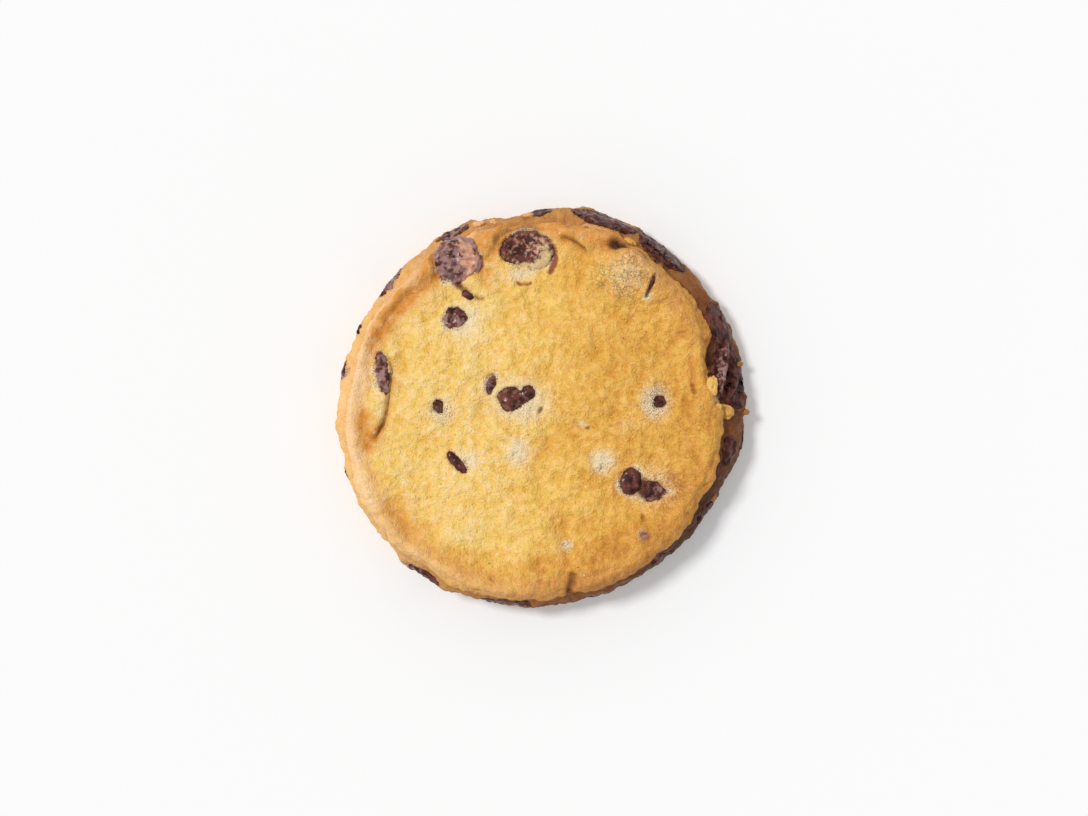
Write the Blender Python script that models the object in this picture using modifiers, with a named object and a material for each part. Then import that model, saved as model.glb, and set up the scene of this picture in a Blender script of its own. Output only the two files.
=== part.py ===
"""A thick round chocolate chip cookie: one baked disc of dough, and the chocolate chips set in it.

The cookie lies on its flat base. Its wall flares out below a raised, rounded rim, and the chips sit in
pockets in its top, its wall and its base. Lengths in the tables are millimetres, angles are degrees, and
azimuths run anticlockwise from +X, seen from above.
"""

import math

import bmesh
import bpy
from mathutils import Matrix, Vector

MM = 0.001
WELD_DISTANCE = 0.05 * MM

# Driving dimensions of the disc
BASE_RADIUS = 37.6  # at the widest level of the wall
TOP_RADIUS = 35.2  # at the edge of the top face
FOOT_RADIUS = 35.9  # of the flat base
WIDEST_LEVEL = 3.2
EDGE_LEVEL = 11.9  # where the top face turns down into the wall
MIDDLE_LEVEL = 12.5  # the top face inside the rim
RIM_RISE = 0.9  # crest of the rim above the middle
RIM_INSET = 2.7  # crest of the rim, in from the edge
RIM_WIDTH = 2.2
VALLEY_DEPTH = 0.25  # the dip just inside the rim
VALLEY_INSET = 7.0
TOP_SHIFT = (-1.2, -0.8)  # the top face lies off the centre of the base

# Divisions of the turned disc
SEGMENTS = 68
TOP_RINGS = 11
WALL_RINGS = 6
FOOT_RINGS = 3

# Bulges (+) and dents (-) of the wall and of the top face's edge: azimuth, half width, height
WALL_BULGES = (
    (0, 14, 0.8),
    (35, 10, 0.8),
    (68, 9, 0.6),
    (100, 6, -0.9),
    (145, 14, -0.7),
    (190, 10, 1.4),
    (230, 16, 1.2),
    (305, 22, -1.0),
)
EDGE_BULGES = (
    (12, 7, -2.6),
    (38, 8, -0.4),
    (72, 7, 1.6),
    (93, 8, -0.7),
    (152, 8, 0.5),
    (208, 32, 2.0),
    (260, 6, 0.5),
)

# Swells (+) and hollows (-) of the top face: x, y, half length, half width, turn, height
TOP_RELIEF = (
    (15.2, 24.7, 4.6, 4.0, 20, 0.9),  # dough risen over a hidden chip
    (10.5, 30.5, 3.4, 1.1, 20, -0.7),  # hollow at the foot of that swell
    (-32.3, 0.8, 6.5, 1.6, 82, 0.8),  # raised flap along the left rim
    (-29.3, -1.5, 6.0, 1.0, 75, -0.7),  # the fold beside it
    (-27.0, 17.5, 5.5, 1.6, 55, -0.6),  # valleys inside the rim
    (-24.5, -21.5, 5.5, 1.8, -42, -0.6),
    (-31.3, -9.5, 3.5, 1.4, -70, -0.4),
    (4.6, -29.5, 1.6, 4.5, 0, -0.6),  # crease and split at the near rim
    (5.1, -34.0, 1.2, 2.4, 0, -1.0),
    (-10.6, 0.2, 2.2, 2.4, 0, -0.5),  # hollows beside the middle chip
    (0.2, -6.5, 4.5, 1.1, 45, -0.4),
    (27.9, 6.0, 0.9, 4.2, 0, -0.5),  # crease along the right rim
    (-10.0, -15.0, 8.0, 6.0, 30, 0.3),  # broad waves
    (12.0, 9.0, 9.0, 6.0, -35, 0.25),
    (9.0, -19.0, 5.0, 7.0, 0, -0.25),
    (-6.0, 20.0, 8.0, 4.0, 10, -0.3),
)

# The drop that every chip starts from: share of its half width, share of its depth from base to tip
DROP_PROFILE = ((0.0, 1.0), (0.24, 0.93), (0.72, 0.55), (1.0, 0.15), (0.84, 0.0), (0.0, 0.0))
DROP_SIDES = 10
POCKET_GAP = 0.33  # between a chip and the dough around it

OUTSIDE = 60.0  # a distance that is clear of the whole cookie

# Leans of a chip: which way its base faces
BASE_OUT = 0
ON_SIDE = 90
TIP_OUT = 180

# Chips in the top: x, y, length, width, depth, turn, lean, height above the dough
TOP_CHIPS = (
    (-15.9, 27.3, 9.4, 9.2, 6.5, 20, BASE_OUT, 0.3),  # round, far left
    (-3.0, 28.9, 10.8, 8.4, 6.5, 0, BASE_OUT, 0.1),  # round, far middle
    (-14.2, 21.0, 2.8, 1.6, 1.8, -30, BASE_OUT, 0.2),  # fragment below the first
    (-16.7, 16.7, 5.4, 4.4, 6.0, 15, BASE_OUT, 0.3),
    (-30.0, 6.2, 8.8, 3.0, 5.0, 97, BASE_OUT, 0.1),  # in the fold by the left rim
    (-19.9, 0.0, 5.0, 4.4, 6.0, 80, TIP_OUT, 0.7),
    (-9.8, 4.0, 2.0, 3.8, 3.6, -15, BASE_OUT, 0.3),
    (-5.0, 1.8, 5.4, 5.4, 6.9, 27, ON_SIDE, 1.0),  # middle of the cookie, lying on its side
    (-16.2, -10.4, 5.6, 2.2, 4.5, -50, BASE_OUT, 0.2),
    (21.9, 0.9, 4.8, 4.4, 6.0, 0, TIP_OUT, 0.7),
    (16.4, -14.0, 4.2, 5.4, 5.0, -12, BASE_OUT, 0.3),  # a pair, near right
    (21.2, -15.9, 4.6, 4.6, 5.2, -10, ON_SIDE, 0.9),
    (18.9, -24.2, 3.6, 3.4, 4.0, 0, TIP_OUT, 0.6),
    (19.9, 22.4, 1.6, 4.8, 4.5, -17, BASE_OUT, 0.1),  # shows through the split in the swell
)

# Chips in the wall: azimuth, level, length along the wall, height, depth, turn, height above the dough
WALL_CHIPS = (
    (9.5, 6.6, 11.4, 8.6, 6.5, 4, 0.8),
    (25.0, 6.4, 7.8, 6.4, 6.5, -12, 0.8),
    (53.4, 5.9, 10.6, 6.6, 6.5, -8, 0.8),
    (71.6, 7.2, 11.2, 6.4, 6.5, -6, 0.7),
    (91.0, 5.2, 4.4, 4.0, 4.5, 0, 0.3),
    (117.5, 7.4, 6.6, 4.4, 2.6, 8, 0.9),
    (140.5, 6.2, 8.2, 5.4, 6.0, 12, 0.9),
    (156.5, 8.0, 3.0, 2.6, 3.0, 0, 0.5),
    (169.5, 6.0, 5.4, 6.0, 6.0, 0, 0.9),
    (199.0, 5.4, 2.8, 3.4, 3.4, 0, 0.5),
    (233.8, 5.6, 8.0, 5.8, 6.0, 6, 1.0),
    (260.5, 6.0, 11.2, 6.2, 6.5, -4, 0.2),
    (287.0, 4.4, 7.2, 4.6, 5.5, 10, 0.5),
    (308.0, 7.4, 4.8, 3.8, 4.5, 0, 0.3),
    (325.5, 5.0, 8.6, 5.4, 6.0, -8, 0.4),
    (346.8, 8.2, 6.0, 4.2, 5.0, 6, 0.7),
    (350.6, 3.6, 4.0, 3.4, 4.2, 0, 0.9),
)

# Chips in the base: azimuth, distance from the middle, length, width, depth, turn
BASE_CHIPS = (
    (35, 13.5, 9.2, 8.6, 5.0, 30),
    (98, 21.0, 8.8, 9.6, 5.0, 0),
    (152, 16.5, 5.2, 4.4, 4.6, 60),
    (205, 24.5, 9.8, 8.8, 5.0, 15),
    (262, 11.0, 6.2, 5.4, 4.6, 80),
    (300, 23.5, 8.6, 9.0, 5.0, 40),
    (348, 26.5, 4.6, 5.4, 4.4, 0),
)
BASE_CHIP_RECESS = 0.12  # a chip in the base is this far above what the cookie rests on

DOUGH_COLOUR = (0.80, 0.51, 0.16, 1.0)
DOUGH_ROUGHNESS = 0.75
CHOCOLATE_COLOUR = (0.070, 0.028, 0.020, 1.0)
CHOCOLATE_ROUGHNESS = 0.4


def material(name, colour, roughness):
    """A plain finish: Principled colour and roughness, not metallic."""
    made = bpy.data.materials.new(name)
    made.use_nodes = True
    shader = made.node_tree.nodes["Principled BSDF"]
    shader.inputs["Base Color"].default_value = colour
    shader.inputs["Roughness"].default_value = roughness
    shader.inputs["Metallic"].default_value = 0.0
    made.diffuse_color = colour
    return made


def collection(name):
    made = bpy.data.collections.new(name)
    bpy.context.scene.collection.children.link(made)
    return made


def smooth_step(value):
    """0 to 1 with a soft start and end."""
    t = min(max(value, 0.0), 1.0)
    return t * t * (3.0 - 2.0 * t)


def bell(distance):
    return math.exp(-0.5 * distance * distance)


def bulged_radius(radius, bulges, azimuth):
    """The radius at an azimuth, with the bulges and dents around the edge added."""
    for centre, half_width, height in bulges:
        away = (azimuth - centre + 180.0) % 360.0 - 180.0
        radius += height * bell(away / half_width)
    return radius


def top_level(radius):
    """Height of the evenly turned top face at a radius: flat middle, shallow valley, rounded rim."""
    inset = TOP_RADIUS - radius
    rim = RIM_RISE * bell((inset - RIM_INSET) / RIM_WIDTH)
    valley = VALLEY_DEPTH * bell((inset - VALLEY_INSET) / RIM_WIDTH)
    level = MIDDLE_LEVEL + rim - valley
    rounding = max(0.0, 1.0 - inset / RIM_INSET) ** 2
    return level + (EDGE_LEVEL - level) * rounding


def disc_profile():
    """Half section of the disc as (radius, height), from the middle of the top to the middle of the base."""
    points = []
    for ring in range(TOP_RINGS + 1):
        radius = TOP_RADIUS * math.sin(0.5 * math.pi * ring / TOP_RINGS)
        points.append((radius, top_level(radius)))
    for ring in range(1, WALL_RINGS + 1):
        flare = (BASE_RADIUS - TOP_RADIUS) * math.sin(0.5 * math.pi * ring / WALL_RINGS)
        points.append((TOP_RADIUS + flare, EDGE_LEVEL + (WIDEST_LEVEL - EDGE_LEVEL) * ring / WALL_RINGS))
    for ring in range(1, FOOT_RINGS + 1):
        angle = 0.5 * math.pi * ring / FOOT_RINGS
        rounding = (BASE_RADIUS - FOOT_RADIUS) * math.cos(angle)
        points.append((FOOT_RADIUS + rounding, WIDEST_LEVEL * (1.0 - math.sin(angle))))
    points.append((0.0, 0.0))
    return points


def turned_mesh(name, profile, sides):
    """The closed mesh that a Screw modifier turns from a half section in the XZ plane."""
    outline = bpy.data.meshes.new(name)
    points = [(radius * MM, 0.0, level * MM) for radius, level in profile]
    outline.from_pydata(points, [(i, i + 1) for i in range(len(points) - 1)], [])
    turned = bpy.data.objects.new(name, outline)
    bpy.context.scene.collection.objects.link(turned)
    screw = turned.modifiers.new("turn", "SCREW")
    screw.steps = sides
    screw.render_steps = sides
    screw.use_merge_vertices = True
    screw.merge_threshold = WELD_DISTANCE
    bpy.context.view_layer.update()
    depsgraph = bpy.context.evaluated_depsgraph_get()
    mesh = bpy.data.meshes.new_from_object(turned.evaluated_get(depsgraph))
    mesh.name = name
    bpy.data.objects.remove(turned)
    bpy.data.meshes.remove(outline)
    return mesh


def relief(x, y):
    """What the swells and hollows add to the top face at a point."""
    total = 0.0
    for centre_x, centre_y, half_length, half_width, turn, height in TOP_RELIEF:
        c, s = math.cos(math.radians(turn)), math.sin(math.radians(turn))
        along = (x - centre_x) * c + (y - centre_y) * s
        across = (y - centre_y) * c - (x - centre_x) * s
        total += height * bell(math.hypot(along / half_length, across / half_width))
    return total


def shape_disc(mesh):
    """Turns the even disc into the baked one: uneven edges, top face off centre, swells and hollows."""
    for vertex in mesh.vertices:
        x, y, level = (value / MM for value in vertex.co)
        azimuth = math.degrees(math.atan2(y, x))
        rise = smooth_step((level - WIDEST_LEVEL) / (EDGE_LEVEL - WIDEST_LEVEL))
        wall_share = bulged_radius(BASE_RADIUS, WALL_BULGES, azimuth) / BASE_RADIUS
        edge_share = bulged_radius(TOP_RADIUS, EDGE_BULGES, azimuth) / TOP_RADIUS
        share = wall_share + (edge_share - wall_share) * rise
        x = x * share + TOP_SHIFT[0] * rise
        y = y * share + TOP_SHIFT[1] * rise
        level += relief(x, y) * smooth_step((level - 0.5 * EDGE_LEVEL) / (0.5 * EDGE_LEVEL))
        vertex.co = (x * MM, y * MM, level * MM)


def make_dough(parts):
    mesh = turned_mesh("dough", disc_profile(), SEGMENTS)
    shape_disc(mesh)
    mesh.shade_smooth()
    mesh.materials.append(material("baked_dough", DOUGH_COLOUR, DOUGH_ROUGHNESS))
    dough = bpy.data.objects.new("dough", mesh)
    parts.objects.link(dough)
    return dough


def drop_mesh(name, length, width, depth, growth=0.0):
    """A chocolate drop with its base at z = 0 and its tip at +Z, oval if length and width differ.
    Growth moves its whole surface outwards."""
    mesh = turned_mesh(name, DROP_PROFILE, DROP_SIDES)
    mesh.transform(Matrix.Diagonal((0.5 * length, 0.5 * width, depth, 1.0)))
    shape = bmesh.new()
    shape.from_mesh(mesh)
    shape.normal_update()
    outward = [vertex.normal.copy() for vertex in shape.verts]
    for vertex, normal in zip(shape.verts, outward):
        vertex.co += normal * growth * MM
    shape.to_mesh(mesh)
    shape.free()
    mesh.shade_smooth()
    return mesh


def surface_point(dough, aim, inward):
    """Where the line that comes in through a point first meets the uncut dough, and how its surface faces."""
    _, point, normal, _ = dough.ray_cast(aim - inward * OUTSIDE * MM, inward)
    return point, normal


def seat(point, outward, along, lean):
    """The placing of a chip on the surface: the drop's base faces outwards, or leans over by an angle."""
    z_axis = -outward.normalized()
    x_axis = (along - z_axis * along.dot(z_axis)).normalized()
    y_axis = z_axis.cross(x_axis)
    turn = Matrix((x_axis, y_axis, z_axis)).transposed()
    tilt = Matrix.Rotation(math.radians(lean), 3, "Y")
    return Matrix.Translation(point) @ (turn @ tilt).to_4x4()


def set_chip(name, size, place, outward, proud, parts, pockets, finish):
    """Makes a chip and the pocket for it. The chip is centred on its place and stands that far above the dough."""
    mesh = drop_mesh(name, *size)
    turned = [place.to_3x3() @ vertex.co for vertex in mesh.vertices]
    middle = sum(turned, Vector()) / len(turned)
    reach = max(point.dot(outward) for point in turned)
    sideways = middle - outward * middle.dot(outward)
    place = Matrix.Translation(outward * (proud * MM - reach) - sideways) @ place
    mesh.materials.append(finish)
    chip = bpy.data.objects.new(name, mesh)
    chip.matrix_world = place
    parts.objects.link(chip)
    pocket = bpy.data.objects.new("pocket_" + name, drop_mesh("pocket_" + name, *size, growth=POCKET_GAP))
    pocket.matrix_world = place
    pocket.hide_render = True
    pocket.display_type = "WIRE"
    pockets.objects.link(pocket)


def along_direction(turn):
    return Vector((math.cos(math.radians(turn)), math.sin(math.radians(turn)), 0.0))


def top_chips(dough, kit):
    down = Vector((0.0, 0.0, -1.0))
    for number, (x, y, length, width, depth, turn, lean, proud) in enumerate(TOP_CHIPS, 1):
        point, outward = surface_point(dough, Vector((x * MM, y * MM, 0.0)), down)
        place = seat(point, outward, along_direction(turn), lean)
        set_chip(f"chip_top_{number:02d}", (length, width, depth), place, outward, proud, **kit)


def wall_chips(dough, kit):
    for number, (azimuth, level, length, height, depth, turn, proud) in enumerate(WALL_CHIPS, 1):
        middle = Vector((0.0, 0.0, level * MM))
        point, outward = surface_point(dough, middle, -along_direction(azimuth))
        along = Matrix.Rotation(math.radians(turn), 3, outward) @ along_direction(azimuth + 90.0)
        place = seat(point, outward, along, BASE_OUT)
        set_chip(f"chip_wall_{number:02d}", (length, height, depth), place, outward, proud, **kit)


def base_chips(kit):
    down = Vector((0.0, 0.0, -1.0))
    for number, (azimuth, distance, length, width, depth, turn) in enumerate(BASE_CHIPS, 1):
        place = seat(along_direction(azimuth) * distance * MM, down, along_direction(turn), BASE_OUT)
        set_chip(f"chip_base_{number:02d}", (length, width, depth), place, down, -BASE_CHIP_RECESS, **kit)


def centre_on_origin(parts, pockets):
    """Parents every piece to an empty, placed so that the middle of the cookie's box is over the origin."""
    bpy.context.view_layer.update()
    points = [piece.matrix_world @ vertex.co for piece in parts.objects for vertex in piece.data.vertices]
    middle = [0.5 * (min(p[axis] for p in points) + max(p[axis] for p in points)) for axis in range(2)]
    origin = bpy.data.objects.new("cookie_origin", None)
    bpy.context.scene.collection.objects.link(origin)
    origin.location = (-middle[0], -middle[1], 0.0)
    for piece in list(parts.objects) + list(pockets.objects):
        piece.parent = origin


def build_cookie():
    for thing in list(bpy.data.objects):
        bpy.data.objects.remove(thing)
    parts = collection("chocolate_chip_cookie")
    pockets = collection("chip_pockets")
    dough = make_dough(parts)
    bpy.context.view_layer.update()
    chocolate = material("chocolate", CHOCOLATE_COLOUR, CHOCOLATE_ROUGHNESS)
    kit = {"parts": parts, "pockets": pockets, "finish": chocolate}
    top_chips(dough, kit)
    wall_chips(dough, kit)
    base_chips(kit)
    for pocket in pockets.objects:
        cut = dough.modifiers.new(pocket.name, "BOOLEAN")
        cut.operation = "DIFFERENCE"
        cut.solver = "EXACT"
        cut.object = pocket
    centre_on_origin(parts, pockets)


build_cookie()
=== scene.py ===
"""The looks of the chocolate chip cookie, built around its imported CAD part.

The dough is one fine skin sampled from the CAD dough, with the baked surface worked into it: rim, folds,
cracks, pores and the ragged openings over the chips. Every CAD chip becomes a melted, glossy drop in the same
place. Tables and working coordinates are in millimetres, azimuths in degrees anticlockwise from +X.
"""

import math

import bmesh
import bpy
import numpy as np
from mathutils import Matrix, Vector, noise
from mathutils.bvhtree import BVHTree


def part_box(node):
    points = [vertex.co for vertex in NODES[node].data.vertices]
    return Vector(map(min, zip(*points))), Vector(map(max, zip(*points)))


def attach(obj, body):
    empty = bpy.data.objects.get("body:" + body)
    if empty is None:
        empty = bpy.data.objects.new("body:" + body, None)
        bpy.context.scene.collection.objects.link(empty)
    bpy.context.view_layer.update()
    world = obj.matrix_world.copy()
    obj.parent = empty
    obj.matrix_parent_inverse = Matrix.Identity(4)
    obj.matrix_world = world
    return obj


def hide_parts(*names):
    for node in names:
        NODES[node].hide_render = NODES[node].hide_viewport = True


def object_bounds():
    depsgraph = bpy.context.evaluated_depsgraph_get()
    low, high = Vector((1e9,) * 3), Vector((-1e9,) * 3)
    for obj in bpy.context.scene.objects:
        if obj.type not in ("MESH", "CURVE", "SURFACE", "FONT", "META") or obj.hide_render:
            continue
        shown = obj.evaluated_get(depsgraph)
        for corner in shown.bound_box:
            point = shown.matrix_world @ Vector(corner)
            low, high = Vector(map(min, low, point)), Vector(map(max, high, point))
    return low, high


MM = 0.001
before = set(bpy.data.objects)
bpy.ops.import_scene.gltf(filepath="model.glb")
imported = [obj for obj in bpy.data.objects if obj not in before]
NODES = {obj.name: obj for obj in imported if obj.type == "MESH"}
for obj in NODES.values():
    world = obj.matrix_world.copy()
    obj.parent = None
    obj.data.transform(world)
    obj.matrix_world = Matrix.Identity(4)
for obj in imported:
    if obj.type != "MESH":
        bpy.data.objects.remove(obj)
cad_low, cad_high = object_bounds()
CHIPS = sorted(name for name in NODES if name.startswith("chip_"))

# The skin: a square grid mapped to the top face, columns of rows down the wall, a coarser grid below
TOP_CELLS = 216
COLUMNS = 4 * TOP_CELLS
BASE_CELLS = TOP_CELLS // 2
RIM_LEVEL = 10.6  # the rim is rounded about a circle at this level
RIM_PIVOT = 2.2  # and this far in from the wall
RIM_ANGLES = np.linspace(68, 8, 8)
WALL_LEVELS = np.linspace(10.6, 2.6, 22)
FOOT_PIVOT = 2.3
FOOT_ANGLES = np.linspace(12, 80, 8)
TOP_INSET, BASE_INSET = 1.5, 0.5  # where the grids end, in from the first and the last row
FAR = 60.0  # clear of the whole cookie
GAP_REACH = 0.62  # dough this near to a chip is the wall of its pocket
FILL_PASSES = 420
SMOOTH_PASSES = 44


# ---------------------------------------------------------------- small tools


def smooth(value):
    """0 up to 0 and 1 from 1 on, with a soft step between."""
    t = np.clip(value, 0.0, 1.0)
    return t * t * (3.0 - 2.0 * t)


def bell(distance):
    return np.exp(-0.5 * distance * distance)


def azimuth_of(points):
    """Degrees anticlockwise from +X, from -180 to 180."""
    return np.degrees(np.arctan2(points[:, 1], points[:, 0]))


def beside(azimuth, centre, width):
    """1 at an azimuth, falling softly to 0 beside it, for stretches clear of the turn at 180 degrees."""
    return bell((azimuth - centre) / width)


def around(azimuth, centre, width):
    """The same, measured the short way round."""
    return bell(((azimuth - centre + 180.0) % 360.0 - 180.0) / width)


def rough(points, size, seed, octaves=1):
    """Soft noise of about -1 to 1 at points in mm, with lumps of a size in mm."""
    total = np.zeros(len(points))
    weight, reach = 1.0, 0.0
    for octave in range(octaves):
        shift = 7.31 * seed + 3.17 * octave
        places = points / size + (shift, 1.7 * shift, 0.3 * shift)
        total += weight * np.array([noise.noise(p) for p in places.tolist()])
        reach += weight
        weight *= 0.5
        size *= 0.5
    return 1.6 * total / reach


def box_of(name):
    return (np.array(corner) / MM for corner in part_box(name))


def coordinates(mesh):
    values = np.zeros(3 * len(mesh.vertices))
    mesh.vertices.foreach_get("co", values)
    return values.reshape(-1, 3) / MM


def tree_of(objects):
    """One ray tree, in mm, over the meshes of some objects."""
    points, faces = [], []
    for thing in objects:
        start = len(points)
        points += coordinates(thing.data).tolist()
        faces += [[start + v for v in face.vertices] for face in thing.data.polygons]
    return BVHTree.FromPolygons(points, faces)


def line_distance(points, line):
    """Distance to a line seen from above, how far along it (0 to 1), and which side (+1 left, -1 right)."""
    x, y = points[:, 0], points[:, 1]
    best = np.full(len(x), 1e9)
    place = np.zeros(len(x))
    side = np.ones(len(x))
    lengths = [math.dist(a, b) for a, b in zip(line, line[1:])]
    done, whole = 0.0, sum(lengths)
    for (ax, ay), (bx, by), length in zip(line, line[1:], lengths):
        ux, uy = (bx - ax) / length, (by - ay) / length
        t = np.clip((x - ax) * ux + (y - ay) * uy, 0.0, length)
        away_x, away_y = x - ax - t * ux, y - ay - t * uy
        distance = np.hypot(away_x, away_y)
        nearer = distance < best
        best = np.where(nearer, distance, best)
        place = np.where(nearer, (done + t) / whole, place)
        side = np.where(nearer, np.sign(ux * away_y - uy * away_x + 1e-12), side)
        done += length
    return best, place, side


def spot(points, centre_x, centre_y, half_length, half_width, turn):
    """1 in the middle of an oval spot seen from above, falling softly to 0 outside it."""
    c, s = math.cos(math.radians(turn)), math.sin(math.radians(turn))
    x, y = points[:, 0] - centre_x, points[:, 1] - centre_y
    along = (x * c + y * s) / half_length
    across = (y * c - x * s) / half_width
    return bell(np.hypot(along, across) * 1.2)


def vertex_normals(points, triangles):
    a, b, c = (points[triangles[:, i]] for i in range(3))
    facing = np.cross(b - a, c - a)
    normals = np.zeros_like(points)
    for i in range(3):
        for axis in range(3):
            normals[:, axis] += np.bincount(triangles[:, i], facing[:, axis], len(points))
    return normals / np.maximum(np.linalg.norm(normals, axis=1, keepdims=True), 1e-12)


def quad_edges(quads):
    return np.vstack([quads[:, [a, (a + 1) % 4]] for a in range(4)])


def quad_halves(quads):
    return np.vstack((quads[:, :3], quads[:, [0, 2, 3]]))


def neighbour_table(count, edges):
    """For each vertex its neighbours, filled up with itself, and how many there really are."""
    pairs = np.unique(np.vstack((edges, edges[:, ::-1])), axis=0)
    starts = np.searchsorted(pairs[:, 0], np.arange(count))
    number = np.bincount(pairs[:, 0], minlength=count)
    table = np.repeat(np.arange(count)[:, None], number.max(), axis=1)
    slot = np.arange(len(pairs)) - starts[pairs[:, 0]]
    table[pairs[:, 0], slot] = pairs[:, 1]
    return table, number


def neighbour_mean(values, neighbours, which=slice(None)):
    table, number = neighbours
    spare = table.shape[1] - number[which]
    near = values[table[which]].sum(axis=1)
    if values.ndim == 2:
        return (near - spare[:, None] * values[which]) / number[which][:, None]
    return (near - spare * values[which]) / number[which]


def relaxed(values, neighbours, passes, share=0.5):
    """Values drawn towards those of their neighbours, over and over."""
    for _ in range(passes):
        values = (1.0 - share) * values + share * neighbour_mean(values, neighbours)
    return values


def new_piece(name, points, faces, attributes, finish, replaced=()):
    """A smooth mesh piece, given in mm, that rides on the cookie."""
    mesh = bpy.data.meshes.new(name)
    mesh.from_pydata((points * MM).tolist(), [], faces)
    for key, values in attributes.items():
        layer = mesh.attributes.new(key, "FLOAT", "POINT")
        layer.data.foreach_set("value", values.astype(np.float32))
    mesh.materials.append(finish)
    mesh.shade_smooth()
    piece = bpy.data.objects.new(name, mesh)
    bpy.context.scene.collection.objects.link(piece)
    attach(piece, "root")
    if replaced:
        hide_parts(*replaced)
    return piece


# ---------------------------------------------------------------- finishes


class Finish:
    """A node material: each method adds nodes and returns their output socket."""

    def __init__(self, name):
        self.material = bpy.data.materials.new(name)
        self.material.use_nodes = True
        self.tree = self.material.node_tree
        self.shader = self.tree.nodes["Principled BSDF"]
        self.place = self.tree.nodes.new("ShaderNodeTexCoord").outputs["Object"]

    def plug(self, socket, value):
        if isinstance(value, bpy.types.NodeSocket):
            self.tree.links.new(value, socket)
        else:
            socket.default_value = value

    def add(self, kind, inputs, **settings):
        """A new node with its settings made and its inputs plugged in."""
        node = self.tree.nodes.new("ShaderNode" + kind)
        for name, value in settings.items():
            setattr(node, name, value)
        for socket, value in inputs.items():
            self.plug(node.inputs[socket], value)
        return node

    def noise(self, size, detail=2.0, seed=0.0, contrast=None):
        """Noise from 0 to 1 with lumps of a size in mm."""
        inputs = {"Vector": self.place, "W": seed, "Scale": 1.0 / (size * MM), "Detail": detail}
        share = self.add("TexNoise", inputs, noise_dimensions="4D").outputs["Fac"]
        return share if contrast is None else self.remap(share, *contrast)

    def cells(self, size, seed, reach):
        """1 on small spots, one in each cell of a size in mm, and 0 beyond a reach in cells."""
        inputs = {"Vector": self.place, "W": seed, "Scale": 1.0 / (size * MM)}
        spots = self.add("TexVoronoi", inputs, voronoi_dimensions="4D")
        return self.remap(spots.outputs["Distance"], reach, 0.6 * reach)

    def seams(self, size, seed, width):
        """1 along the seams between cells of a size in mm, falling to 0 a width (in cells) away."""
        wander = self.add("TexNoise", {"Vector": self.place, "Scale": 1.0 / (0.7 * size * MM)})
        inputs = {0: wander.outputs["Color"], 1: (1.3 * size * MM,) * 3, 2: self.place}
        shifted = self.add("VectorMath", inputs, operation="MULTIPLY_ADD")
        inputs = {"Vector": shifted.outputs["Vector"], "W": seed, "Scale": 1.0 / (size * MM)}
        edges = self.add("TexVoronoi", inputs, voronoi_dimensions="4D", feature="DISTANCE_TO_EDGE")
        return self.remap(edges.outputs["Distance"], width, 0.0)

    def field(self, name):
        return self.add("Attribute", {}, attribute_type="GEOMETRY", attribute_name=name).outputs["Fac"]

    def math(self, operation, a, b, clamp=False):
        return self.add("Math", {0: a, 1: b}, operation=operation, use_clamp=clamp).outputs[0]

    def times(self, a, b):
        return self.math("MULTIPLY", a, b)

    def minus(self, a, b):
        """a - b, but not below 0."""
        return self.math("SUBTRACT", a, b, clamp=True)

    def remap(self, value, low, high, out_low=0.0, out_high=1.0):
        """A soft step from one range to another."""
        inputs = {"Value": value, "From Min": low, "From Max": high, "To Min": out_low, "To Max": out_high}
        return self.add("MapRange", inputs, interpolation_type="SMOOTHSTEP").outputs["Result"]

    def ramp(self, value, stops):
        node = self.add("ValToRGB", {"Fac": value})
        elements = node.color_ramp.elements
        while len(elements) < len(stops):
            elements.new(0.5)
        for element, (position, colour) in zip(elements, stops):
            element.position = position
            element.color = (*colour, 1.0)
        return node.outputs["Color"]

    def mix(self, share, under, over, blend="MIX"):
        node = self.add("Mix", {}, data_type="RGBA", blend_type=blend)
        self.plug(node.inputs["Factor"], share)
        for socket, value in (("A", under), ("B", over)):
            target = [s for s in node.inputs if s.name == socket and s.type == "RGBA"][0]
            self.plug(target, value if isinstance(value, bpy.types.NodeSocket) else (*value, 1.0))
        return [s for s in node.outputs if s.type == "RGBA"][0]

    def laid_on(self, under, name, eaten, full, strongest, over):
        """A colour laid over another where a field outweighs the noise that eats into it."""
        kept = self.minus(self.field(name), eaten)
        return self.mix(self.remap(kept, 0.0, full, 0.0, strongest), under, over)

    def finish(self, colour, roughness, gloss, height, relief):
        """Plugs the shader in; the relief of the height is in mm."""
        bump = self.add("Bump", {"Distance": relief * MM, "Strength": 1.0, "Height": height})
        self.plug(self.shader.inputs["Base Color"], colour)
        self.plug(self.shader.inputs["Roughness"], roughness)
        self.plug(self.shader.inputs["Normal"], bump.outputs["Normal"])
        self.shader.inputs["Specular IOR Level"].default_value = gloss
        return self.material


# The colours that the bake field runs through, from pale to browned
BAKE_STOPS = (
    (0.00, (0.97, 0.70, 0.27)),
    (0.20, (0.93, 0.58, 0.135)),
    (0.42, (0.80, 0.41, 0.066)),
    (0.60, (0.62, 0.26, 0.034)),
    (0.80, (0.36, 0.12, 0.018)),
    (1.00, (0.15, 0.045, 0.012)),
)
# Peach crust for the wall and rim on the side turned to the lamp: partly painted light
PEACH = (0.99, 0.62, 0.33)
# Painted shade of the crust wall turned away from the lamp
CRUST_SHADE = (0.30, 0.088, 0.013)
# Painted shade of the wall in its lee, where no light falls
LEE_SHADE = (0.09, 0.030, 0.012)
HALO = (0.90, 0.76, 0.52)
HALO_DARK = (0.22, 0.135, 0.09)
STAIN = (0.28, 0.060, 0.030)
# Painted shade in crevices, cracks, pores and under the crust's edge; in a few cracks it is chocolate showing
CREVICE = (0.10, 0.030, 0.012)
SUGAR = (0.95, 0.74, 0.52)
# Painted shade in the pores
PORE_SHADE = (0.27, 0.115, 0.03)
DOUGH_GLOSS, DOUGH_RELIEF = 0.28, 0.5
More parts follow.
